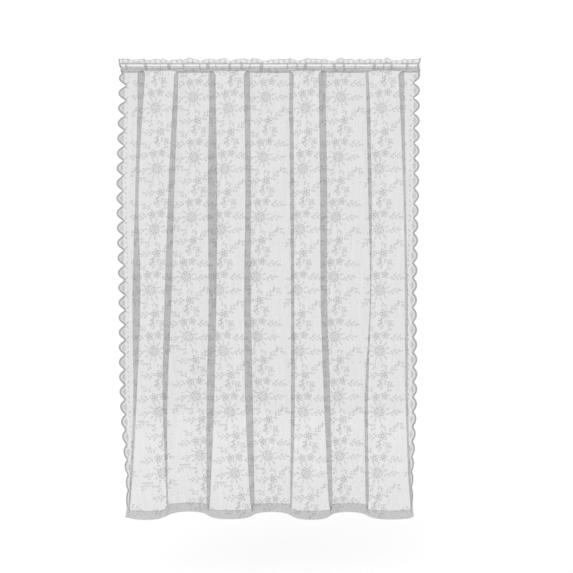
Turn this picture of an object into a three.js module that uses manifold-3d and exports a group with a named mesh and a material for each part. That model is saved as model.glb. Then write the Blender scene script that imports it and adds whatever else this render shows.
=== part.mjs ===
// Lace curtain gathered on a slim rod: one cut piece of lace net, and the rod in its casing.
// Millimetres; X runs to the right, Y away from the viewer, Z up; the origin is the middle of the rod.
import * as THREE from 'three';
import { mergeVertices } from 'three/addons/utils/BufferGeometryUtils.js';
import Module from 'manifold-3d';

// Rod and the casing around it
const ROD_RADIUS = 4;
const ROD_LENGTH = 1044;
const ROD_SIDES = 28;
const CASING_CLEARANCE = 0.4;
const CASING_WALL = 1.3;
const CASING_GATHER = { height: 0.7, length: 44 };
const CASING_FOOT = -8;
const CASING_ROWS = [0.85, 0.5, 0, -0.5, -0.85];

// Thickness of the lace, single and where it is turned over and sewn double
const SINGLE = 1.2;
const DOUBLED = 2.4;

// Heading: a standing frill over the casing and a doubled band under it
const FRILL_TOP = 21;
const FRILL_FOOT = 7;
const FRILL_RISES = [{ height: 2.2, length: 112, start: 5.3 }, { height: 1.7, length: 57, start: 0 }];
const FRILL_RIPPLES = [{ height: 3.2, length: 69, start: 0 }, { height: 1.3, length: 182, start: 2 }];
const BAND_FOOT = -21;

// Hem at the foot, turned up once; its lobes behind the middle hang a little higher
const HEM_FOOT = -1555;
const HEM_HEIGHT = 31;
const HEM_LIFT = 3;
const SEAM_STEP = 1.5;

// Height from which the folds run out into a plain wave, and the share of their curl left at the foot
const RUN_OUT_FROM = -1500;
const FOOT_CURL = 0.35;

// Height from which the two sides come forward, and how far they have come at the foot
const FORWARD_FROM = -1400;
const FORWARD_AT_FOOT = 40;

// Scallops along both sides
const SCALLOP_PITCH = 52.1;
const SCALLOP_COUNT = 29;
const EDGE_ROWS_PER_SCALLOP = 6;
const INNER_ROWS_PER_SCALLOP = 2;
const SCALLOP_ROUNDNESS = 2.1;
const NOTCH_SWING = THREE.MathUtils.degToRad(11.5);

// The cloth swings from a lobe at the back to a lobe at the front and on to the next at the back.
// "Swing" is the angle along it: whole half turns are the middles of lobes, the folds lie between.
const COLUMNS_PER_LOBE = 12;
const OPENED_BELOW_CASING = 37;
const CURL_HALVINGS = 30;
const SWING_STEP = 1e-4;
const MERGE_WITHIN = 1e-4;

// Drops below the rod at which the tables are read, from under the heading down to the hem
const DROPS = [32, 429, 809, 1155, 1500];

// Depth of a lobe in front of or behind the middle, at each drop
const LOBE_DEPTH = [13, 16, 19, 23, 29];

// A row for each fold from left to right: its middle and the width its layers lap, at each drop
const FOLDS = [
  { middle: [-442, -458, -460, -465, -481], lap: [20, 8, 22, 7, 4] },
  { middle: [-322, -339, -351, -361, -354], lap: [19, 24, 28, 21, 8] },
  { middle: [-197, -197, -197, -204, -211], lap: [17, 31, 25, 24, 10] },
  { middle: [-78, -74, -76, -71, -60], lap: [21, 21, 24, 28, 18] },
  { middle: [74, 78, 80, 81, 75], lap: [14, 14, 11, 14, 8] },
  { middle: [181, 187, 188, 199, 211], lap: [21, 24, 21, 21, 13] },
  { middle: [339, 347, 349, 335, 338], lap: [14, 14, 6, 14, 14] },
  { middle: [456, 467, 474, 475, 487], lap: [17, 6, 6, 5, 4] },
];

// How far each lobe swings, against LOBE_DEPTH, from the left side strip to the right one
const LOBE_SHARE = [1, 1.1, 1.1, 0.85, 0.95, 1.05, 0.95, 0.95, 1];

// The two scalloped sides: height of the first notch, place of the tips and how far they are turned
// to the back, at each drop
const LEFT_SIDE = { firstNotch: -11.8, tip: [-524, -535, -529, -525, -495], back: [13, 22, 26, 28, 14] };
const RIGHT_SIDE = { firstNotch: -3, tip: [523, 522, 517, 517, 498], back: [13, 24, 36, 34, 22] };

// Heights of the rows of the panel below the heading
const PANEL_ROWS = [-30, -45, -90, -200, -350, -520, -700, -900, -1110, -1310, -1470];

const LAST_LOBE = FOLDS.length;
const LAST_SWING = LAST_LOBE * Math.PI;
const QUARTER = Math.PI / 2;
const SCALLOPS_HEIGHT = SCALLOP_COUNT * SCALLOP_PITCH;
const TUNNEL_RADIUS = ROD_RADIUS + CASING_CLEARANCE;
const CASING_RADIUS = TUNNEL_RADIUS + CASING_WALL;

// Value of one table column at a height, along a smooth curve through its entries
function reading(values, z) {
  const curve = new THREE.CubicInterpolant(DROPS, values, 1, new Float64Array(1));
  return curve.evaluate(-z)[0];
}

// Share of the folds that has opened at a height: none in the casing, all a little way below it
function opened(z) {
  const way = THREE.MathUtils.clamp((CASING_FOOT - z) / OPENED_BELOW_CASING, 0, 1);
  return 1 - (1 - way) ** 2;
}

// Share of the curl that is left at a height, less and less towards the foot
function curlLeft(z) {
  const way = THREE.MathUtils.clamp((RUN_OUT_FROM - z) / (RUN_OUT_FROM - HEM_FOOT), 0, 1);
  return 1 - (1 - FOOT_CURL) * way ** 2;
}

// Sideways curl that makes a fold lap by the given width while the cloth advances at a pace per radian
function curl(lap, pace) {
  let low = 0;
  let high = QUARTER;
  for (let halving = 0; halving < CURL_HALVINGS; halving += 1) {
    const angle = (low + high) / 2;
    if (pace * (Math.tan(angle) - angle) < lap) {
      low = angle;
    } else {
      high = angle;
    }
  }
  return pace / (2 * Math.cos(low));
}

// Folds on either side of a lobe; a side strip has the scalloped side in place of one of them
function lobeEnds(lobe, z) {
  const ends = { left: {}, right: {} };
  ends.left.swing = Math.max(0, (lobe - 0.5) * Math.PI);
  ends.right.swing = Math.min(LAST_SWING, (lobe + 0.5) * Math.PI);
  const leftFold = FOLDS[lobe - 1];
  const rightFold = FOLDS[lobe];
  ends.left.x = reading(leftFold ? leftFold.middle : LEFT_SIDE.tip, z);
  ends.right.x = reading(rightFold ? rightFold.middle : RIGHT_SIDE.tip, z);
  ends.left.lap = reading((leftFold ?? rightFold).lap, z);
  ends.right.lap = reading((rightFold ?? leftFold).lap, z);
  return ends;
}

// Depth to which a lobe swings at a height
function lobeDepth(lobe, z) {
  const sides = { 0: LEFT_SIDE.back, [LAST_LOBE]: RIGHT_SIDE.back };
  return opened(z) * LOBE_SHARE[lobe] * reading(sides[lobe] ?? LOBE_DEPTH, z);
}

// How far the cloth has come forward at a swing and height: most at the sides, none past the next lobe
function cameForward(swing, z) {
  const fromSide = Math.min(swing, LAST_SWING - swing, Math.PI);
  const way = THREE.MathUtils.clamp((FORWARD_FROM - z) / (FORWARD_FROM - HEM_FOOT), 0, 1);
  return (FORWARD_AT_FOOT * way ** 2 * (1 + Math.cos(fromSide))) / 2;
}

// Place of the middle of the cloth at a swing and height, seen from above, and the way it runs there
function plan(swing, z) {
  const lobe = Math.round(swing / Math.PI);
  const { left, right } = lobeEnds(lobe, z);
  const pace = (right.x - left.x) / (right.swing - left.swing);
  const lap = swing < lobe * Math.PI ? left.lap : right.lap;
  const sideways = opened(z) * curlLeft(z) * curl(lap, pace);
  const depth = lobeDepth(lobe, z);
  const point = new THREE.Vector2(
    left.x + pace * (swing - left.swing) + sideways * Math.sin(2 * swing),
    depth * Math.cos(swing) - cameForward(swing, z),
  );
  const forwardSlope = (cameForward(swing + SWING_STEP, z) - cameForward(swing, z)) / SWING_STEP;
  const run = new THREE.Vector2(
    pace + 2 * sideways * Math.cos(2 * swing),
    -depth * Math.sin(swing) - forwardSlope,
  );
  return { point, run: run.normalize() };
}

// Sum of a few waves along the rod, for the uneven rise of the frill and its ripple forward and back
function waves(list, x) {
  let sum = 0;
  for (const { height, length, start } of list) {
    sum += height * Math.sin((2 * Math.PI * x) / length + start);
  }
  return sum;
}

// Rows from the top of the frill to the foot of the hem: height and thickness of the cloth
function panelRows() {
  const rows = [];
  const frillMiddle = (FRILL_TOP + FRILL_FOOT) / 2;
  for (const z of [FRILL_TOP, frillMiddle, FRILL_FOOT]) {
    rows.push({ z, thick: DOUBLED });
  }
  for (const share of CASING_ROWS) {
    const z = share * CASING_RADIUS;
    rows.push({ z, thick: 2 * Math.sqrt(CASING_RADIUS ** 2 - z ** 2), casing: true });
  }
  for (const z of [CASING_FOOT, BAND_FOOT + SEAM_STEP]) {
    rows.push({ z, thick: DOUBLED });
  }
  for (const z of [BAND_FOOT, ...PANEL_ROWS, HEM_FOOT + HEM_HEIGHT]) {
    rows.push({ z, thick: SINGLE });
  }
  for (const z of [HEM_FOOT + HEM_HEIGHT - SEAM_STEP, HEM_FOOT]) {
    rows.push({ z, thick: DOUBLED });
  }
  return rows;
}

// Front and back points of the cloth at a swing on one row
function clothPoints(swing, row) {
  const { point, run } = plan(swing, row.z);
  let height = row.z;
  let forward = 0;
  let thick = row.thick;
  if (row.z > FRILL_FOOT) {
    const share = (row.z - FRILL_FOOT) / (FRILL_TOP - FRILL_FOOT);
    height += share * waves(FRILL_RISES, point.x);
    forward = share * waves(FRILL_RIPPLES, point.x);
  } else if (row.casing) {
    thick += CASING_GATHER.height * (1 + Math.sin((2 * Math.PI * point.x) / CASING_GATHER.length));
  } else if (row.z <= HEM_FOOT + HEM_HEIGHT) {
    height += HEM_LIFT * Math.cos(swing);
  }
  const off = new THREE.Vector2(run.y, -run.x).multiplyScalar(thick / 2);
  return {
    level: row.z,
    front: new THREE.Vector3(point.x + off.x, point.y + off.y + forward, height),
    back: new THREE.Vector3(point.x - off.x, point.y - off.y + forward, height),
  };
}

// Share of the notch depth on a side at a height: none at the rounded tip of a scallop, all at its two
// ends, and less and less from the first notch up to the top of the frill
function notchShare(side, z) {
  if (z >= side.firstNotch) {
    return (FRILL_TOP - z) / (FRILL_TOP - side.firstNotch);
  }
  const way = (side.firstNotch - z) / SCALLOP_PITCH;
  return way >= SCALLOP_COUNT ? 1 : Math.abs(2 * (way % 1) - 1) ** SCALLOP_ROUNDNESS;
}

// Column at or beside a scalloped side: the panel's rows at heading and hem, rows per scallop between
function sideColumn(rows, side, rowsPerScallop, swingAt) {
  const scallopRows = [];
  for (let index = 0; index < SCALLOP_COUNT * rowsPerScallop; index += 1) {
    const z = side.firstNotch - (index / rowsPerScallop) * SCALLOP_PITCH;
    if (z < BAND_FOOT) {
      scallopRows.push({ z, thick: SINGLE });
    }
  }
  const heading = rows.filter((row) => row.z >= BAND_FOOT);
  const hem = rows.filter((row) => row.z <= side.firstNotch - SCALLOPS_HEIGHT);
  return [...heading, ...scallopRows, ...hem].map((row) => clothPoints(swingAt(row.z), row));
}

// All columns of the panel from its left side to its right side
function panelColumns() {
  const rows = panelRows();
  const step = Math.PI / COLUMNS_PER_LOBE;
  const inside = LAST_LOBE * COLUMNS_PER_LOBE - 1;
  const columns = [
    sideColumn(rows, LEFT_SIDE, EDGE_ROWS_PER_SCALLOP, (z) => NOTCH_SWING * notchShare(LEFT_SIDE, z)),
    sideColumn(rows, LEFT_SIDE, INNER_ROWS_PER_SCALLOP, () => step),
  ];
  for (let index = 2; index < inside; index += 1) {
    columns.push(rows.map((row) => clothPoints(index * step, row)));
  }
  columns.push(
    sideColumn(rows, RIGHT_SIDE, INNER_ROWS_PER_SCALLOP, () => LAST_SWING - step),
    sideColumn(
      rows, RIGHT_SIDE, EDGE_ROWS_PER_SCALLOP, (z) => LAST_SWING - NOTCH_SWING * notchShare(RIGHT_SIDE, z),
    ),
  );
  return columns;
}

// Closed skin over the columns: front, back and the rim all round
function skin(columns) {
  const positions = [];
  const triangles = [];
  for (const entry of columns.flat()) {
    entry.frontAt = positions.length / 3;
    positions.push(...entry.front.toArray(), ...entry.back.toArray());
    entry.backAt = entry.frontAt + 1;
  }
  const bothFaces = (a, b, c) => {
    triangles.push(a.frontAt, b.frontAt, c.frontAt, a.backAt, c.backAt, b.backAt);
  };
  const rim = (a, b) => {
    triangles.push(a.frontAt, b.frontAt, b.backAt, a.frontAt, b.backAt, a.backAt);
  };
  for (let index = 1; index < columns.length; index += 1) {
    const left = columns[index - 1];
    const right = columns[index];
    let i = 0;
    let j = 0;
    while (i < left.length - 1 || j < right.length - 1) {
      const leftNext = left[i + 1]?.level ?? -Infinity;
      const rightNext = right[j + 1]?.level ?? -Infinity;
      if (leftNext >= rightNext) {
        bothFaces(left[i], left[i + 1], right[j]);
        i += 1;
      } else {
        bothFaces(left[i], right[j + 1], right[j]);
        j += 1;
      }
    }
    rim(left[0], right[0]);
    rim(right.at(-1), left.at(-1));
  }
  const leftSide = columns[0];
  const rightSide = columns.at(-1);
  for (let row = 1; row < leftSide.length; row += 1) {
    rim(leftSide[row], leftSide[row - 1]);
  }
  for (let row = 1; row < rightSide.length; row += 1) {
    rim(rightSide[row - 1], rightSide[row]);
  }
  const geometry = new THREE.BufferGeometry();
  geometry.setAttribute('position', new THREE.Float32BufferAttribute(positions, 3));
  geometry.setIndex(triangles);
  return geometry;
}

// Round bar along X, centred on the origin
function bar(radius, length) {
  const geometry = new THREE.CylinderGeometry(radius, radius, length, ROD_SIDES);
  return geometry.rotateZ(QUARTER);
}

const wasm = await Module();
wasm.setup();

// A closed body for cutting, from a geometry
function body(geometry) {
  const plain = new THREE.BufferGeometry();
  plain.setAttribute('position', geometry.getAttribute('position'));
  plain.setIndex(geometry.getIndex());
  const merged = mergeVertices(plain, MERGE_WITHIN);
  return new wasm.Manifold(new wasm.Mesh({
    numProp: 3,
    vertProperties: new Float32Array(merged.getAttribute('position').array),
    triVerts: new Uint32Array(merged.getIndex().array),
  }));
}

function geometryOf(solid) {
  const mesh = solid.getMesh();
  const geometry = new THREE.BufferGeometry();
  geometry.setAttribute('position', new THREE.BufferAttribute(mesh.vertProperties, 3));
  geometry.setIndex(new THREE.BufferAttribute(mesh.triVerts, 1));
  return geometry;
}

// The lace panel with the rod's tunnel cut through its casing
function lacePanel() {
  const cloth = body(skin(panelColumns()));
  const tunnel = body(bar(TUNNEL_RADIUS, 2 * ROD_LENGTH));
  return geometryOf(cloth.subtract(tunnel));
}

function named(name, geometry, material) {
  const mesh = new THREE.Mesh(geometry, new THREE.MeshStandardMaterial(material));
  mesh.name = name;
  return mesh;
}

const curtain = new THREE.Group();
curtain.name = 'lace_curtain';
curtain.add(named('lace_panel', lacePanel(), { color: 0xe4e4e2, roughness: 0.9, metalness: 0 }));
curtain.add(named('rod', bar(ROD_RADIUS, ROD_LENGTH), { color: 0xf4f4f2, roughness: 0.4, metalness: 0 }));

export default curtain;
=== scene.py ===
# Lace curtain gathered on a slim rod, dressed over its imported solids.
# Metres, in the part's own frame: X to the right, Y away from the viewer, Z up, origin at mid-rod.
import math

import bpy
import numpy as np
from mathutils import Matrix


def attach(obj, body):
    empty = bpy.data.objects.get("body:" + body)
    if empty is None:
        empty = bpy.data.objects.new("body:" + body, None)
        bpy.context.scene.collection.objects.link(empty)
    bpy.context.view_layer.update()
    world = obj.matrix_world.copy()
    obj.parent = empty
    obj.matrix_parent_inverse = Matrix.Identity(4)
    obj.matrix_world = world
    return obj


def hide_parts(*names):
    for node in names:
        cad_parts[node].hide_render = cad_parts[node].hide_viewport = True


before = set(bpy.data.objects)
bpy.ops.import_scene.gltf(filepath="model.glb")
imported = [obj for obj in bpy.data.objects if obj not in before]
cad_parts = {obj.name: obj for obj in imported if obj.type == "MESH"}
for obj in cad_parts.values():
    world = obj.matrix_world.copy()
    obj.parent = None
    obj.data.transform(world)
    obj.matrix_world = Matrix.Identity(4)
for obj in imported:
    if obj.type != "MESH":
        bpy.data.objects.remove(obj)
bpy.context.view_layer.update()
scene = bpy.context.scene

MM = 0.001

# Sizes of the curtain in millimetres
ROD_RADIUS = 4.0
CASING_FOOT = -8.0
CASING_BULGE = 5.4
FRILL_TOP = 21.0
FRILL_FOOT = 7.0
FRILL_RISES = [(2.2, 112.0, 5.3), (1.7, 57.0, 0.0), (1.1, 31.0, 1.0)]
FRILL_RIPPLES = [(3.2, 69.0, 0.0), (1.3, 182.0, 2.0)]
BAND_FOOT = -21.0
HEM_FOOT = -1555.0
HEM_HEIGHT = 31.0
HEM_LIFT = 3.0
HEM_EASE = 53.0
RUN_OUT_FROM = -1500.0
FOOT_CURL = 0.35
FORWARD_FROM = -1400.0
FORWARD_AT_FOOT = 40.0
SCALLOP_PITCH = 52.1
SCALLOP_COUNT = 29
SCALLOP_ROUNDNESS = 2.1
NOTCH_SWING = math.radians(11.5)
SIDE_SWING = math.radians(26)

# The flat piece of lace before it was gathered: its finished width
FLAT_WIDTH = 1524.0

# Drops below the rod at which the fold tables are read, and the depth of a lobe at each
DROPS = np.array([32.0, 429.0, 809.0, 1155.0, 1500.0])
LOBE_DEPTH = [13, 16, 19, 23, 29]

# A row for each fold from left to right: its middle, and the width that its layers lap
FOLDS = [
    {"middle": [-442, -458, -460, -465, -481], "lap": [20, 8, 22, 7, 4]},
    {"middle": [-322, -339, -351, -361, -354], "lap": [19, 24, 28, 21, 8]},
    {"middle": [-197, -197, -197, -204, -211], "lap": [17, 31, 25, 24, 10]},
    {"middle": [-78, -74, -76, -71, -60], "lap": [21, 21, 24, 28, 18]},
    {"middle": [74, 78, 80, 81, 75], "lap": [14, 14, 11, 14, 8]},
    {"middle": [181, 187, 188, 199, 211], "lap": [21, 24, 21, 21, 13]},
    {"middle": [339, 347, 349, 335, 338], "lap": [14, 14, 6, 14, 14]},
    {"middle": [456, 467, 474, 475, 487], "lap": [17, 6, 6, 5, 4]},
]
LOBE_SHARE = [1, 1.1, 1.1, 0.85, 0.95, 1.05, 0.95, 0.95, 1]

# The scalloped sides: height of the first notch, place of the tips and how far they turn to the back
LEFT_SIDE = {"first_notch": -11.8, "tip": [-524, -535, -529, -525, -495], "back": [13, 22, 26, 28, 14]}
RIGHT_SIDE = {"first_notch": -3.0, "tip": [523, 522, 517, 517, 498], "back": [13, 24, 36, 34, 22]}

LAST_LOBE = len(FOLDS)
LAST_SWING = LAST_LOBE * math.pi
HEM_TOP = HEM_FOOT + HEM_HEIGHT

# How the folds open at the foot of the band
OPENED_FROM = -16.0
OPENED_OVER = 8.0
CURL_HALVINGS = 30

# Small pleats that the rod gathers into the heading: how much they draw the cloth together at each
# height, how far they stand to the front and back, and the puffs they make in the top of the frill
GATHERS_PER_LOBE = 3.0
GATHER_SWAYS = [(0.9, 1.7, 0.0), (0.7, 0.6, 1.0)]
GATHER_HEIGHTS = [-120.0, BAND_FOOT, CASING_FOOT, FRILL_FOOT, FRILL_TOP]
GATHER_SHARE = [0.0, 0.45, 0.8, 0.8, 0.8]
GATHER_DEPTH = 3.0
GATHER_ENDS = 0.8
PUFF_HEIGHT = 6.0
PUFF_LEVEL = 0.6
FACE, TURNED = -1.0, 1.0
SWING_STEP = 0.01


# The hanging cloth

def reading(values, z):
    """Value of a fold table's column at heights z, along a smooth curve through its entries."""
    values = np.array(values, float)
    slopes = np.gradient(values, DROPS)
    drop = np.clip(-z, DROPS[0], DROPS[-1])
    at = np.clip(np.searchsorted(DROPS, drop, side="right") - 1, 0, len(DROPS) - 2)
    span = DROPS[at + 1] - DROPS[at]
    t = (drop - DROPS[at]) / span
    start = values[at] * (1 + 2 * t) * (1 - t) ** 2 + slopes[at] * span * t * (1 - t) ** 2
    stop = values[at + 1] * t * t * (3 - 2 * t) + slopes[at + 1] * span * t * t * (t - 1)
    return start + stop


def opened(z):
    """Share of the folds that has opened at heights z: none in the heading, all just below it."""
    way = np.clip((OPENED_FROM - z) / OPENED_OVER, 0, 1)
    return 1 - (1 - way) ** 2


def curl_left(z):
    """Share of the folds' curl at heights z, less and less towards the foot."""
    way = np.clip((RUN_OUT_FROM - z) / (RUN_OUT_FROM - HEM_FOOT), 0, 1)
    return 1 - (1 - FOOT_CURL) * way ** 2


def curl(lap, pace):
    """Sideways curl that laps a fold by the given width while the cloth advances at a pace."""
    low = np.zeros_like(pace)
    high = np.full_like(pace, math.pi / 2)
    for _ in range(CURL_HALVINGS):
        angle = (low + high) / 2
        short = pace * (np.tan(angle) - angle) < lap
        low = np.where(short, angle, low)
        high = np.where(short, high, angle)
    return pace / (2 * np.cos(low))


def came_forward(swing, z):
    """How far the cloth has come forward near the foot: most at the sides, none past the next lobe."""
    from_side = np.minimum(np.minimum(swing, LAST_SWING - swing), math.pi)
    way = np.clip((FORWARD_FROM - z) / (FORWARD_FROM - HEM_FOOT), 0, 1)
    return FORWARD_AT_FOOT * way ** 2 * (1 + np.cos(from_side)) / 2


def folded(swing, z):
    """Plan place of the cloth with its main folds, at arrays of swing and height of one shape."""
    x = np.empty(swing.shape)
    y = np.empty(swing.shape)
    lobe_at = np.clip(np.rint(swing / math.pi), 0, LAST_LOBE).astype(int)
    for lobe in range(LAST_LOBE + 1):
        here = lobe_at == lobe
        s, h = swing[here], z[here]
        start = max(0.0, (lobe - 0.5) * math.pi)
        stop = min(LAST_SWING, (lobe + 0.5) * math.pi)
        left = FOLDS[lobe - 1] if lobe > 0 else None
        right = FOLDS[lobe] if lobe < LAST_LOBE else None
        left_x = reading(left["middle"] if left else LEFT_SIDE["tip"], h)
        right_x = reading(right["middle"] if right else RIGHT_SIDE["tip"], h)
        left_lap = reading((left or right)["lap"], h)
        right_lap = reading((right or left)["lap"], h)
        depth = LOBE_DEPTH if left and right else (LEFT_SIDE if right else RIGHT_SIDE)["back"]
        pace = (right_x - left_x) / (stop - start)
        lap = np.where(s < lobe * math.pi, left_lap, right_lap)
        sideways = opened(h) * curl_left(h) * curl(lap, pace)
        x[here] = left_x + pace * (s - start) + sideways * np.sin(2 * s)
        y[here] = opened(h) * LOBE_SHARE[lobe] * reading(depth, h) * np.cos(s)
    return x, y - came_forward(swing, z)


def beat(swing):
    """Angle along the small pleats of the heading, at an uneven pace; a pleat lies at each half turn."""
    angle = GATHERS_PER_LOBE * swing
    for size, pace, start in GATHER_SWAYS:
        angle = angle + size * np.sin(pace * swing + start)
    return angle


def gathered(swing, z):
    """Plan place of the cloth with the small pleats of the heading drawn together in its folds."""
    x, y = folded(swing, z)
    ends = np.clip(np.minimum(swing, LAST_SWING - swing) / GATHER_ENDS, 0, 1)
    pace = (RIGHT_SIDE["tip"][0] - LEFT_SIDE["tip"][0]) / LAST_SWING
    beat_pace = (beat(swing + SWING_STEP) - beat(swing)) / SWING_STEP
    sideways = ends * np.interp(z, GATHER_HEIGHTS, GATHER_SHARE) * pace / (2 * beat_pace)
    return x - sideways * np.sin(2 * beat(swing)), y


def waves(rows, x):
    """Sum of waves of the given height, length and start along the rod."""
    total = np.zeros(np.shape(x))
    for height, length, start in rows:
        total += height * np.sin(2 * math.pi * x / length + start)
    return total


def cloth(swing, z, off=0.0, layer=FACE):
    """Points on the cloth in metres; off lifts them from its face, in mm, to the front of a front lobe.

    In the heading the cloth is double: layer picks the face or the part turned to the back.
    """
    swing, z, off = np.broadcast_arrays(*(np.asarray(v, float) for v in (swing, z, off)))
    x, y = gathered(swing, z)
    ahead_x, ahead_y = gathered(swing + SWING_STEP, z)
    run_x, run_y = ahead_x - x, ahead_y - y
    run = np.hypot(run_x, run_y) + 1e-9
    x = x + off * run_y / run
    y = y - off * run_x / run

    # Pleats stand to the front and back, but around the rod only away from it
    around = np.cos(np.clip(np.abs(z) / -CASING_FOOT, 0, 1) * math.pi / 2)
    swell = np.sin(beat(swing))
    depth = GATHER_DEPTH * np.interp(z, GATHER_HEIGHTS, GATHER_SHARE) / max(GATHER_SHARE)
    off_rod = swell * (1 - around)
    on_rod = layer * around * (1 + swell) / 2
    y = y + depth * (off_rod + on_rod) + layer * CASING_BULGE * around

    frill = np.clip((z - FRILL_FOOT) / (FRILL_TOP - FRILL_FOOT), 0, None)
    puff = PUFF_HEIGHT * (np.abs(swell) - PUFF_LEVEL)
    y = y + frill * waves(FRILL_RIPPLES, x)
    hem = np.clip((HEM_TOP + HEM_EASE - z) / HEM_EASE, 0, 1)
    height = z + frill * (waves(FRILL_RISES, x) + puff) + hem * HEM_LIFT * np.cos(swing)
    return np.stack([x, y, height], -1) * MM


def notch_share(side, z):
    """Share of the notch depth on a side at heights z: none at the tip of a scallop, all at its ends."""
    way = (side["first_notch"] - z) / SCALLOP_PITCH
    share = np.abs(2 * (way % 1) - 1) ** SCALLOP_ROUNDNESS
    heading = np.clip((FRILL_TOP - z) / (FRILL_TOP - side["first_notch"]), 0, 1)
    return np.where(way >= SCALLOP_COUNT, 1.0, np.where(way <= 0, heading, share))


# Where each point of the flat lace hangs: tables of the distance across the flat piece by swing
# and height, and of the swing by that distance

MAP_COLUMNS, MAP_ROWS = 1601, 240
MAP_SWINGS = np.linspace(0, LAST_SWING, MAP_COLUMNS)
MAP_HEIGHTS = np.linspace(FRILL_TOP, HEM_FOOT, MAP_ROWS)
MAP_ACROSS = np.linspace(0, FLAT_WIDTH, MAP_COLUMNS)


def across_table():
    swing, height = np.meshgrid(MAP_SWINGS, MAP_HEIGHTS)
    x, y = gathered(swing, height)
    steps = np.hypot(np.diff(x, axis=1), np.diff(y, axis=1))
    length = np.hstack([np.zeros((MAP_ROWS, 1)), np.cumsum(steps, axis=1)])
    return FLAT_WIDTH * length / length[:, -1:]


ACROSS_BY_SWING = across_table()
SWING_BY_ACROSS = np.array([np.interp(MAP_ACROSS, row, MAP_SWINGS) for row in ACROSS_BY_SWING])


def looked_up(table, along, z):
    """Reading of a table at shares along its columns and at heights z, even between its entries."""
    column = np.clip(along, 0, 1) * (MAP_COLUMNS - 1)
    row = np.clip((FRILL_TOP - z) / (FRILL_TOP - HEM_FOOT), 0, 1) * (MAP_ROWS - 1)
    c = np.minimum(column.astype(int), MAP_COLUMNS - 2)
    r = np.minimum(row.astype(int), MAP_ROWS - 2)
    fc, fr = column - c, row - r
    upper = table[r, c] * (1 - fc) + table[r, c + 1] * fc
    lower = table[r + 1, c] * (1 - fc) + table[r + 1, c + 1] * fc
    return upper * (1 - fr) + lower * fr


def across_at(swing, z):
    swing, z = np.broadcast_arrays(np.asarray(swing, float), np.asarray(z, float))
    return looked_up(ACROSS_BY_SWING, swing / LAST_SWING, z)


def swing_at(across, z):
    return looked_up(SWING_BY_ACROSS, across / FLAT_WIDTH, z)


# Materials

def linear(code):
    """Linear colour, with alpha, of an sRGB hex code."""
    channels = [int(code[i:i + 2], 16) / 255 for i in (1, 3, 5)]
    return (*(c / 12.92 if c <= 0.04045 else ((c + 0.055) / 1.055) ** 2.4 for c in channels), 1.0)


def add_node(tree, kind, inputs=None, links=None, **settings):
    """Adds a shader node with its settings, input values and links from (node, output) pairs."""
    made = tree.nodes.new(kind)
    for name, value in settings.items():
        setattr(made, name, value)
    for name, value in (inputs or {}).items():
        made.inputs[name].default_value = value
    for name, (source, output) in (links or {}).items():
        tree.links.new(source.outputs[output], made.inputs[name])
    return made


def new_material(name):
    material = bpy.data.materials.new(name)
    material.use_nodes = True
    material.node_tree.nodes.clear()
    return material


# A wave texture repeats every 0.314 of its own units at scale 1
WAVE_UNIT = 2 * math.pi / 20
STREAK_WIDTH = 11.0
STREAK_STRENGTH = 2.6
STREAK_LOW, STREAK_HIGH = 0.25, 0.75
PILLAR_STRENGTH = 0.3
CLOSEST_GROUND = 2 + PILLAR_STRENGTH
SLUB_LENGTH = 6.25
# Greys of the yarn: painted shade, white lace made as dim as its front looks with the bright light behind
# it
PAINTED_SHADE_THREAD_DARK = "#969696"
PAINTED_SHADE_THREAD_PALE = "#a1a1a1"


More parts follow.
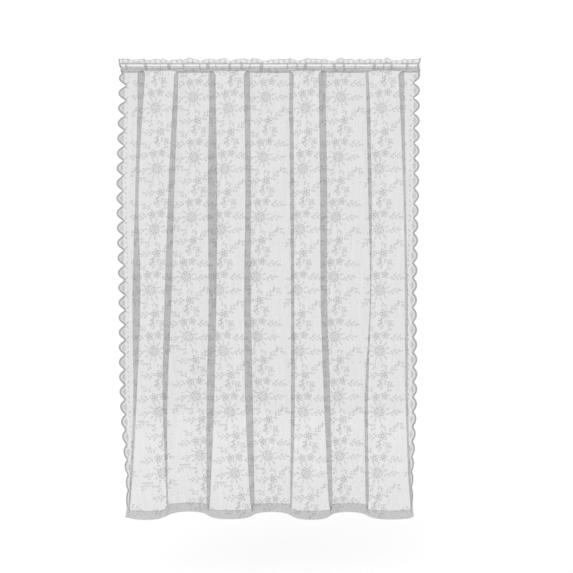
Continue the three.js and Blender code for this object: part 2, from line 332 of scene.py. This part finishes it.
def lace_thread(name, strand_mm, strand_turn, pillar_mm, thin, dense, streak_mm=90.0):
    """White polyester yarn, machine warp-knitted into open net or denser clothwork, coloured grey as
    painted shade.

    Two sets of slanting strands hang between upright pillars, and the holes let the light through,
    so the eye sees an even matt veil, a little streaked down its length. Thin and dense are the
    share that the yarn covers at its most open and its closest, and streak_mm is how far a close or
    open place runs down the cloth. Real strands are about 0.2 mm thick; they are drawn as coarse as
    the render can show.
    """
    material = new_material(name)
    tree = material.node_tree
    flat = add_node(tree, "ShaderNodeUVMap", uv_map="flat")
    strands = []
    for turn in (strand_turn, -strand_turn):
        turned = add_node(tree, "ShaderNodeMapping", {"Rotation": (0, 0, turn)}, {"Vector": (flat, "UV")})
        strands.append(add_node(
            tree, "ShaderNodeTexWave",
            {"Scale": WAVE_UNIT / (strand_mm * MM), "Distortion": 0.6, "Detail": 1.0},
            {"Vector": (turned, "Vector")}))
    pillars = add_node(
        tree, "ShaderNodeTexWave", {"Scale": WAVE_UNIT / (pillar_mm * MM), "Distortion": 0.8},
        {"Vector": (flat, "UV")})
    net = add_node(tree, "ShaderNodeMath", None, {0: (strands[0], "Fac"), 1: (strands[1], "Fac")})
    ground = add_node(
        tree, "ShaderNodeMath", {1: PILLAR_STRENGTH}, {0: (pillars, "Fac"), 2: (net, "Value")},
        operation="MULTIPLY_ADD")
    drawn = add_node(
        tree, "ShaderNodeMapping", {"Scale": (1 / (STREAK_WIDTH * MM), 1 / (streak_mm * MM), 1)},
        {"Vector": (flat, "UV")})
    streaks = add_node(
        tree, "ShaderNodeTexNoise", {"Scale": 1.0, "Detail": 2.0}, {"Vector": (drawn, "Vector")})
    uneven = add_node(
        tree, "ShaderNodeMath", {1: STREAK_STRENGTH}, {0: (streaks, "Fac"), 2: (ground, "Value")},
        operation="MULTIPLY_ADD")
    cover = add_node(
        tree, "ShaderNodeMapRange",
        {"From Min": STREAK_STRENGTH * STREAK_LOW,
         "From Max": CLOSEST_GROUND + STREAK_STRENGTH * STREAK_HIGH,
         "To Min": thin, "To Max": dense},
        {"Value": (uneven, "Value")})
    slub = add_node(
        tree, "ShaderNodeTexNoise", {"Scale": 1 / (SLUB_LENGTH * MM), "Detail": 2.0},
        {"Vector": (flat, "UV")})
    # Yarn tone wanders at random between the two greys, both of them painted shade
    tint = add_node(
        tree, "ShaderNodeMix", {6: linear(PAINTED_SHADE_THREAD_DARK), 7: linear(PAINTED_SHADE_THREAD_PALE)},
        {0: (slub, "Fac")}, data_type="RGBA")
    relief = add_node(
        tree, "ShaderNodeBump", {"Strength": 0.35, "Distance": 0.3 * MM}, {"Height": (ground, "Value")})
    yarn = add_node(
        tree, "ShaderNodeBsdfPrincipled",
        {"Roughness": 0.85, "Specular IOR Level": 0.2, "Sheen Weight": 0.05},
        {"Base Color": (tint, 2), "Alpha": (cover, "Result"), "Normal": (relief, "Normal")})
    add_node(tree, "ShaderNodeOutputMaterial", None, {"Surface": (yarn, "BSDF")})
    return material


NET = lace_thread("warp_knitted_net", 2.6, math.radians(30), 7.0, 0.22, 0.46)
FRILL_NET = lace_thread("frill_net", 2.2, math.radians(30), 5.2, 0.0, 0.28, 9.0)
CASING_NET = lace_thread("net_drawn_over_rod", 2.2, math.radians(30), 5.2, 0.0, 0.08, 14.0)
GATHERED_NET = lace_thread("gathered_net", 1.8, math.radians(30), 4.6, 0.24, 0.60, 7.0)
PLEAT_NET = lace_thread("pleated_net", 1.8, math.radians(30), 3.2, 0.24, 0.52, 20.0)
CLOTHWORK = lace_thread("lace_clothwork", 1.3, math.radians(60), 2.6, 0.02, 0.14)
CORDONNET = lace_thread("lace_cordonnet", 0.9, math.radians(70), 1.8, 0.36, 0.62)
EDGE_CORD = lace_thread("lace_edge_cord", 0.9, math.radians(70), 1.8, 0.56, 0.86)


PEEL_SIZE = 1.11
ENAMEL_WHITE = "#f6f6f5"


def satin_enamel():
    """White enamel baked on a drawn steel tube: a smooth, satin coat with a trace of orange peel."""
    material = new_material("satin_white_enamel")
    tree = material.node_tree
    place = add_node(tree, "ShaderNodeTexCoord")
    peel = add_node(
        tree, "ShaderNodeTexNoise", {"Scale": 1 / (PEEL_SIZE * MM), "Detail": 2.0},
        {"Vector": (place, "Object")})
    coat = add_node(
        tree, "ShaderNodeMapRange", {"To Min": 0.28, "To Max": 0.4}, {"Value": (peel, "Fac")})
    relief = add_node(
        tree, "ShaderNodeBump", {"Strength": 0.1, "Distance": 0.1 * MM}, {"Height": (peel, "Fac")})
    enamel = add_node(
        tree, "ShaderNodeBsdfPrincipled", {"Base Color": linear(ENAMEL_WHITE), "IOR": 1.5},
        {"Roughness": (coat, "Result"), "Normal": (relief, "Normal")})
    add_node(tree, "ShaderNodeOutputMaterial", None, {"Surface": (enamel, "BSDF")})
    return material


# Making of pieces

def make_piece(name, points, faces, materials, flat, material_of_face=None):
    """A smooth mesh that rides on the curtain, with its place on the flat lace, in mm, for each point."""
    mesh = bpy.data.meshes.new(name)
    mesh.from_pydata(points.reshape(-1, 3).tolist(), [], faces)
    for material in materials:
        mesh.materials.append(material)
    if material_of_face is not None:
        mesh.polygons.foreach_set("material_index", material_of_face)
    corners = np.empty(len(mesh.loops), np.int32)
    mesh.loops.foreach_get("vertex_index", corners)
    layer = mesh.uv_layers.new(name="flat")
    layer.data.foreach_set("uv", (flat.reshape(-1, 2)[corners] * MM).ravel())
    mesh.polygons.foreach_set("use_smooth", np.ones(len(mesh.polygons), bool))
    mesh.update()
    piece = bpy.data.objects.new(name, mesh)
    scene.collection.objects.link(piece)
    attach(piece, "root")
    return piece


def grid_faces(rows, columns):
    """Four-cornered faces of a grid of points, row by row from the top, facing the front."""
    start = (np.arange(rows - 1)[:, None] * columns + np.arange(columns - 1)).ravel()
    return np.stack([start, start + columns, start + columns + 1, start + 1], -1).tolist()


# The net: one thin sheet from the top of the frill to the foot of the hem, closer in its gathered
# heading. A zone of the sheet reaches down to its height.

COLUMNS = LAST_LOBE * 60 + 1
ROWS_PER_SCALLOP = 6
FRILL_EDGE = FRILL_TOP - 2.0
ROD_TOP, ROD_FOOT = ROD_RADIUS + 0.6, -ROD_RADIUS - 0.6
HEADING_ROWS = [FRILL_TOP, FRILL_EDGE, 16, 13, 10, FRILL_FOOT, ROD_TOP, 2.5, 0, -2.5, ROD_FOOT, -6.5,
                CASING_FOOT, -10, -13, -17]
HEM_ROWS = 5
ZONES = [(FRILL_EDGE, PLEAT_NET), (FRILL_FOOT + 3, FRILL_NET), (ROD_TOP, GATHERED_NET),
         (ROD_FOOT, CASING_NET), (BAND_FOOT - 1, GATHERED_NET), (HEM_FOOT, NET)]


def net_rows():
    scalloped = np.linspace(BAND_FOOT, HEM_TOP, SCALLOP_COUNT * ROWS_PER_SCALLOP, endpoint=False)
    hem = np.linspace(HEM_TOP, HEM_FOOT, HEM_ROWS)
    return np.concatenate([HEADING_ROWS, scalloped, hem])


def edge_swings(z):
    """Swings of all columns at heights z, with the outer ones drawn in at the scallops."""
    swing = np.linspace(0, LAST_SWING, COLUMNS)
    near_left = np.clip(1 - swing / SIDE_SWING, 0, 1)
    near_right = near_left[::-1]
    left = NOTCH_SWING * np.outer(notch_share(LEFT_SIDE, z), near_left)
    right = NOTCH_SWING * np.outer(notch_share(RIGHT_SIDE, z), near_right)
    return swing + left - right


def make_sheet(name, z, zones, off=0.0, layer=FACE):
    """A piece of the lace over the whole width, at the heights z, with the net of each zone."""
    z = np.asarray(z, float)
    swing = edge_swings(z)
    height = np.broadcast_to(z[:, None], swing.shape)
    flat = np.stack([across_at(swing, height), height], -1)
    points = cloth(swing, height, np.broadcast_to(np.reshape(off, (-1, 1)), swing.shape), layer)
    middle = (z[1:] + z[:-1]) / 2
    zone = [next(i for i, (foot, _) in enumerate(zones) if foot < level) for level in middle]
    materials = [material for _, material in zones]
    kinds = np.repeat(zone, COLUMNS - 1).astype(np.int32)
    return make_piece(name, points, grid_faces(*swing.shape), materials, flat, kinds)


# Pleats bunched on the rod, and the creases that run out below the band: narrow ridges of cloth

PLEAT_COLUMNS = 5
PLEAT_ROWS = [FRILL_FOOT + 2, 5, 2.5, 0, -2.5, -5, CASING_FOOT, -11, -14]
PLEAT_WIDTH = 3.0
PLEAT_SPREAD = 4.5
PLEAT_RIDGE = 1.6
CREASE_ROWS = [-25, -32, -42, -58, -76, -96]
CREASE_WIDTH = 3.2
CREASE_RIDGE = 0.8
CREASE_TIP = 0.05
PLEAT_CHANGE, CREASE_CHANGE = 2.4, 1.7


def make_ridges(name, rows, width_at, ridge):
    """A ridge on the face of the cloth at each pleat of the heading; width_at(index) gives its widths."""
    halves = np.arange(1, int(beat(LAST_SWING) / math.pi) + 1)
    middles = np.interp(halves * math.pi, beat(MAP_SWINGS), MAP_SWINGS)
    z = np.array(rows, float)
    spread = np.linspace(-1, 1, PLEAT_COLUMNS)
    points, flats, faces = [], [], []
    for index, middle in enumerate(middles):
        aside = np.reshape(width_at(index), (-1, 1)) / 2 * spread
        grid = np.repeat(cloth(np.full(len(z), middle), z)[:, None, :], PLEAT_COLUMNS, axis=1)
        grid[..., 0] += aside * MM
        grid[..., 1] -= ridge * (2 - spread ** 2) * MM
        points.append(grid.reshape(-1, 3))
        across = across_at(middle, z)[:, None] + aside
        flats.append(np.stack(np.broadcast_arrays(across, z[:, None]), -1).reshape(-1, 2))
        faces += (np.array(grid_faces(len(z), PLEAT_COLUMNS)) + index * len(z) * PLEAT_COLUMNS).tolist()
    return make_piece(name, np.concatenate(points), faces, [PLEAT_NET], np.concatenate(flats))


def pleat_widths(index):
    """Wider and narrower pleats in turn."""
    return np.full(len(PLEAT_ROWS), PLEAT_WIDTH + PLEAT_SPREAD * (1 + math.sin(PLEAT_CHANGE * index)))


def crease_widths(index):
    """Creases of differing widths that taper to nothing."""
    width = CREASE_WIDTH * (0.7 + 0.3 * math.sin(CREASE_CHANGE * index))
    return width * np.linspace(1, CREASE_TIP, len(CREASE_ROWS))


# The lace figure, repeated over the cloth: a spray of open flowers over a full rose, and half a
# repeat below it a single flower with trailing branches. Each petal, leaf and dot is an outline of
# points with a corded rim.

OUTLINE = 8
TURN = np.linspace(0, 2 * math.pi, OUTLINE, endpoint=False)
REPEAT_ACROSS = FLAT_WIDTH / 8
REPEAT_DOWN = 4 * SCALLOP_PITCH
SPRAY_START = 5.0
SPRAY_HEIGHT = -307.0
SPRAY_STAGGER = 23.0
FIGURE_MARGIN = 46.0
RIM_SHARE = 0.62
DOT_SIZE = 4.5
FIGURE_LIFT = 0.4
REPEAT_COLUMNS, REPEAT_ROWS = range(-1, 10), range(-2, 8)
HEADING_START, HEADING_MARGIN, HEADING_PITCH = 26.0, 20.0, 27.0


def petal(x, y, angle, length, width):
    """Outline of a petal or leaf that starts at x, y and points along an angle, in mm."""
    along = length * (1 - np.cos(TURN)) / 2
    aside = width / 2 * np.sin(TURN) * (1 + 0.25 * np.cos(TURN))
    c, s = math.cos(angle), math.sin(angle)
    return np.stack([x + along * c - aside * s, y + along * s + aside * c], -1)


def dot(x, y, size):
    return [petal(x - size / 2, y, 0.0, size, size)]


def ring(x, y, count, reach, length, width, turn=0.0):
    """Petals around a middle, starting at a reach from it."""
    outlines = []
    for angle in np.linspace(turn, turn + 2 * math.pi, count, endpoint=False):
        start_x = x + reach * math.cos(angle)
        start_y = y + reach * math.sin(angle)
        outlines.append(petal(start_x, start_y, angle, length, width))
    return outlines


def flower(x, y, size, turn):
    """An open flower: five broad petals round a small eye."""
    return ring(x, y, 5, 0.07 * size, 0.43 * size, 0.34 * size, turn) + dot(x, y, 0.12 * size)


def rose(x, y, size):
    """A full rose seen from above: a bud, inner petals and a wreath of broad outer ones that lap."""
    inner = ring(x, y, 4, 0.05 * size, 0.23 * size, 0.22 * size, 0.5)
    return inner + ring(x, y, 8, 0.24 * size, 0.26 * size, 0.3 * size, 0.2)


def branch(x, y, angle, bend, count, leaf):
    """A leafy branch: leaves to each side in turn along a bending stem, smaller to its tip."""
    outlines = []
    for index in range(count):
        size = leaf * (1 - 0.35 * index / count)
        side = 1 if index % 2 else -1
        outlines.append(petal(x, y, angle + side * 0.75, size, 0.42 * size))
        x += 0.5 * size * math.cos(angle)
        y += 0.5 * size * math.sin(angle)
        angle += bend
    outlines.append(petal(x, y, angle, 0.8 * leaf, 0.34 * leaf))
    return outlines


def spray():
    """The large spray: open flowers above, a rose in a wreath of leaves below, and branches all round."""
    outlines = rose(-3, -28, 44) + ring(-3, -28, 11, 24, 15, 6.5, 0.3)
    outlines += flower(-15, 22, 34, 0.5) + flower(17, 26, 32, 0.15)
    for x, y, angle, bend, count, leaf in (
        (24, 44, 0.9, 0.1, 3, 18), (-30, 38, 2.3, 0.12, 3, 18), (36, 18, 0.1, -0.08, 5, 19),
        (-36, 12, 3.0, 0.08, 4, 19), (36, -28, -0.2, 0.1, 4, 18), (-40, -36, 3.4, -0.1, 3, 18),
        (10, -70, -1.2, 0.1, 2, 16), (-16, -70, -2.0, -0.1, 2, 16), (0, 46, 1.7, -0.1, 3, 18),
    ):
        outlines += branch(x, y, angle, bend, count, leaf)
    for x, y in ((-52, 26), (54, -8), (-50, -16), (46, 58), (-22, 58)):
        outlines += dot(x, y, DOT_SIZE)
    return outlines


def sprig():
    """A single open flower with its leaves, and the branches that trail between the sprays."""
    outlines = flower(12, -110, 36, 0.6)
    for x, y, angle, bend, count, leaf in (
        (30, -102, 0.5, 0.1, 4, 19), (-8, -112, 3.3, -0.08, 4, 19), (18, -128, -0.9, 0.12, 2, 17),
        (6, -128, -2.1, -0.1, 2, 17), (-66, -62, 3.8, 0.1, 3, 18), (-62, -56, -0.75, 0.14, 3, 18),
        (66, -62, -0.9, 0.1, 3, 18),
    ):
        outlines += branch(x, y, angle, bend, count, leaf)
    for x, y in ((-24, -92), (56, -120), (-52, -100), (84, -116), (-84, -20), (84, 30)):
        outlines += dot(x, y, DOT_SIZE)
    return outlines


def heading_row():
    """The edge row of the figure that falls in the frill and the casing: flowers and dots in turn."""
    outlines = []
    places = np.arange(HEADING_START, FLAT_WIDTH - HEADING_MARGIN, HEADING_PITCH)
    for index, across in enumerate(places):
        z = FRILL_FOOT + 6 + 2 * math.sin(1.9 * index)
        outlines += ring(across, z, 5, 1, 6.5, 4.4, 0.5 * index) + dot(across + 12, z - 2, DOT_SIZE)
        outlines += dot(across + 14, z - 22 - 2 * math.sin(index), DOT_SIZE)
    return np.array(outlines)


def repeated(outlines):
    """One figure at every repeat, as far as it lies inside the scalloped borders, in (across, z)."""
    figure = np.array(outlines)
    sets = []
    for column in REPEAT_COLUMNS:
        stagger = SPRAY_STAGGER * (-1 if column % 2 else 1)
        for row in REPEAT_ROWS:
            middle = (SPRAY_START + column * REPEAT_ACROSS, SPRAY_HEIGHT + stagger - row * REPEAT_DOWN)
            sets.append(figure + np.array(middle))
    outlines = np.concatenate(sets)
    across, z = outlines[..., 0], outlines[..., 1]
    inside = (across.min(1) > FIGURE_MARGIN) & (across.max(1) < FLAT_WIDTH - FIGURE_MARGIN)
    inside &= (z.max(1) < CASING_FOOT) & (z.min(1) > HEM_FOOT + 1)
    return outlines[inside]


def make_figure(name, outlines, rim_thread):
    """Every outline as a corded rim round a patch of clothwork, laid on the cloth."""
    middle = outlines.mean(1, keepdims=True)
    inner = middle + RIM_SHARE * (outlines - middle)
    flat = np.concatenate([outlines, inner, middle], 1)
    count, per = flat.shape[:2]
    across, z = flat[..., 0].ravel(), flat[..., 1].ravel()
    points = cloth(swing_at(across, z), z, FIGURE_LIFT)
    here = np.arange(OUTLINE)
    after = (here + 1) % OUTLINE
    rim = np.stack([here, after, after + OUTLINE, here + OUTLINE], -1)
    patch = np.stack([here + OUTLINE, after + OUTLINE, np.full(OUTLINE, 2 * OUTLINE)], -1)
    start = per * np.arange(count)[:, None, None]
    rims = (start + rim).reshape(-1, 4).tolist()
    patches = (start + patch).reshape(-1, 3).tolist()
    kinds = np.repeat([0, 1], [len(rims), len(patches)]).astype(np.int32)
    return make_piece(name, points, rims + patches, [rim_thread, CLOTHWORK], flat, kinds)


# The scalloped borders: a close cord along the edge, and a small fan of petals in each scallop

CORD_WIDTH = 7.2
CORD_ROWS_PER_SCALLOP = 16
CORD_COLUMNS = 4
FAN_MIDDLE, FAN_REACH, FAN_STEP = 24, 4, 0.62


def scallop_fans(first_notch):
    """Fan of petals, dots inside the cord and leaves at each notch, along the left side of the lace."""
    outlines = []
    for index in range(SCALLOP_COUNT):
        z = first_notch - (index + 0.5) * SCALLOP_PITCH
        notch = z - SCALLOP_PITCH / 2
        for angle in math.pi + FAN_STEP * np.arange(-2, 3):
            across = FAN_MIDDLE + FAN_REACH * math.cos(angle)
            outlines.append(petal(across, z + FAN_REACH * math.sin(angle), angle, 10, 5.4))
        outlines += dot(FAN_MIDDLE, z, 5) + dot(36, z + 2, DOT_SIZE) + dot(36, z - 14, DOT_SIZE)
        for side in (-1, 1):
            outlines += dot(17, z + side * 15.5, DOT_SIZE)
            outlines.append(petal(31, notch + side * 4, side * 0.9, 11, 4.6))
    fans = np.array(outlines)
    return fans[(fans[..., 1].max(1) < BAND_FOOT) & (fans[..., 1].min(1) > HEM_TOP)]


def scallop_outlines():
    """The fans along both sides, those on the right turned over."""
    left = scallop_fans(LEFT_SIDE["first_notch"])
    right = scallop_fans(RIGHT_SIDE["first_notch"])[:, ::-1].copy()
    right[..., 0] = FLAT_WIDTH - right[..., 0]
    return np.concatenate([left, right])


def make_edge_cord(name, side, side_swing, inward):
    """Close cord along one scalloped side, a ribbon on the cloth from its edge inwards."""
    z = np.linspace(FRILL_TOP, HEM_TOP, SCALLOP_COUNT * CORD_ROWS_PER_SCALLOP)
    edge = across_at(side_swing + inward * NOTCH_SWING * notch_share(side, z), z)
    slope = np.gradient(edge, z)
    steep = np.hypot(1, slope)
    share = np.linspace(0, CORD_WIDTH, CORD_COLUMNS)
    across = edge[:, None] + inward * share / steep[:, None]
    height = z[:, None] - inward * share * (slope / steep)[:, None]
    points = cloth(swing_at(across, height), height, 2 * FIGURE_LIFT)
    flat = np.stack([across, height], -1)
    return make_piece(name, points, grid_faces(len(z), CORD_COLUMNS), [EDGE_CORD], flat)


# Sewing: rows of lockstitches through the heading and the hem

STITCH_LENGTH = 3.4
STITCH_PITCH = 4.4
STITCH_WIDTH = 0.9
STITCH_LIFT = 0.6
STITCH_MARGIN = 10.0
TURN_BEHIND = -0.8


def make_stitches(name, z):
    """One row of stitches across the cloth at height z, each a slim spindle of thread."""
    across = np.arange(STITCH_MARGIN, FLAT_WIDTH - STITCH_MARGIN, STITCH_PITCH)
    length, width = STITCH_LENGTH / 2, STITCH_WIDTH / 2
    spindle = np.array([
        (-length, 0, 0), (length, 0, 0), (0, width, 0), (0, 0, width), (0, -width, 0), (0, 0, -width)])
    place = (across[:, None] + spindle[:, 0]).ravel()
    height = np.tile(z + spindle[:, 1], len(across))
    lift = np.tile(STITCH_LIFT + spindle[:, 2], len(across))
    points = cloth(swing_at(place, height), height, lift)
    sides = [(0, b, a) for a, b in ((2, 3), (3, 4), (4, 5), (5, 2))]
    sides += [(1, a, b) for a, b in ((2, 3), (3, 4), (4, 5), (5, 2))]
    starts = len(spindle) * np.arange(len(across))
    faces = (starts[:, None, None] + np.array(sides)).reshape(-1, 3).tolist()
    return make_piece(name, points, faces, [EDGE_CORD], np.stack([place, height], -1))


net = make_sheet("lace_net", net_rows(), ZONES)
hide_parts("lace_panel")
heading_turn = make_sheet(
    "heading_turn", HEADING_ROWS + [BAND_FOOT], ZONES,
    [0.0] + [TURN_BEHIND] * len(HEADING_ROWS), TURNED)
hem_turn = make_sheet(
    "hem_turn", np.linspace(HEM_TOP, HEM_FOOT, HEM_ROWS), [(HEM_FOOT, GATHERED_NET)],
    [TURN_BEHIND] * (HEM_ROWS - 1) + [0.0])
trimmings = [
    heading_turn,
    hem_turn,
    make_ridges("heading_pleats", PLEAT_ROWS, pleat_widths, PLEAT_RIDGE),
    make_ridges("heading_creases", CREASE_ROWS, crease_widths, CREASE_RIDGE),
    make_figure("spray_figure", repeated(spray()), CORDONNET),
    make_figure("sprig_figure", repeated(sprig()), CORDONNET),
    make_figure("heading_figure", heading_row(), EDGE_CORD),
    make_figure("scallop_figure", scallop_outlines(), EDGE_CORD),
    make_edge_cord("left_edge_cord", LEFT_SIDE, 0.0, 1),
    make_edge_cord("right_edge_cord", RIGHT_SIDE, LAST_SWING, -1),
    make_stitches("frill_stitches", FRILL_FOOT + 1),
    make_stitches("casing_stitches", CASING_FOOT - 1),
    make_stitches("band_stitches", BAND_FOOT + 3),
    make_stitches("hem_stitches", HEM_TOP - 2),
]

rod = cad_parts["rod"]
rod.data.materials.clear()
rod.data.materials.append(satin_enamel())


# Stage: a pale floor, even white studio light and a soft key

FLOOR_DROP = 0.25
FLOOR_SIZE = 6.0
FLOOR_PAINT = "#fdfdfd"
KEY_STRENGTH = 0.3
KEY_SPREAD = math.radians(40)
KEY_TILT = (math.radians(35), math.radians(-25), 0)


def make_floor():
    z = HEM_FOOT * MM - FLOOR_DROP
    half = FLOOR_SIZE / 2
    mesh = bpy.data.meshes.new("floor")
    corners = [(-half, -half, z), (half, -half, z), (half, half, z), (-half, half, z)]
    mesh.from_pydata(corners, [], [(0, 1, 2, 3)])
    material = new_material("white_floor")
    paint = add_node(
        material.node_tree, "ShaderNodeBsdfPrincipled",
        {"Base Color": linear(FLOOR_PAINT), "Roughness": 0.9, "Specular IOR Level": 0.0})
    add_node(material.node_tree, "ShaderNodeOutputMaterial", None, {"Surface": (paint, "BSDF")})
    mesh.materials.append(material)
    floor = bpy.data.objects.new("floor", mesh)
    scene.collection.objects.link(floor)


make_floor()

world = bpy.data.worlds.new("white_studio")
scene.world = world
world.use_nodes = True
world.node_tree.nodes["Background"].inputs["Color"].default_value = (1, 1, 1, 1)
world.node_tree.nodes["Background"].inputs["Strength"].default_value = 1.0

key_light = bpy.data.lights.new("key", "SUN")
key_light.energy = KEY_STRENGTH
key_light.angle = KEY_SPREAD
key = bpy.data.objects.new("key", key_light)
key.rotation_euler = KEY_TILT
scene.collection.objects.link(key)

# Camera straight in front, at the height of the middle of the picture
CAMERA_DISTANCE = 2200.0
MM_PER_PIXEL = 3.456
FRAME_PIXELS = 573
ROD_MIDDLE_PIXEL = (269.5, 65.8)

camera_data = bpy.data.cameras.new("camera")
camera_data.sensor_width = 36.0
camera_data.lens = camera_data.sensor_width * CAMERA_DISTANCE / (FRAME_PIXELS * MM_PER_PIXEL)
camera = bpy.data.objects.new("camera", camera_data)
camera.location = (
    (FRAME_PIXELS / 2 - ROD_MIDDLE_PIXEL[0]) * MM_PER_PIXEL * MM,
    -CAMERA_DISTANCE * MM,
    (ROD_MIDDLE_PIXEL[1] - FRAME_PIXELS / 2) * MM_PER_PIXEL * MM,
)
camera.rotation_euler = (math.pi / 2, 0, 0)
scene.collection.objects.link(camera)
scene.camera = camera

# Plain colours, and enough see-through steps for the many layers of lace
scene.view_settings.view_transform = "Standard"
scene.cycles.transparent_max_bounces = 64
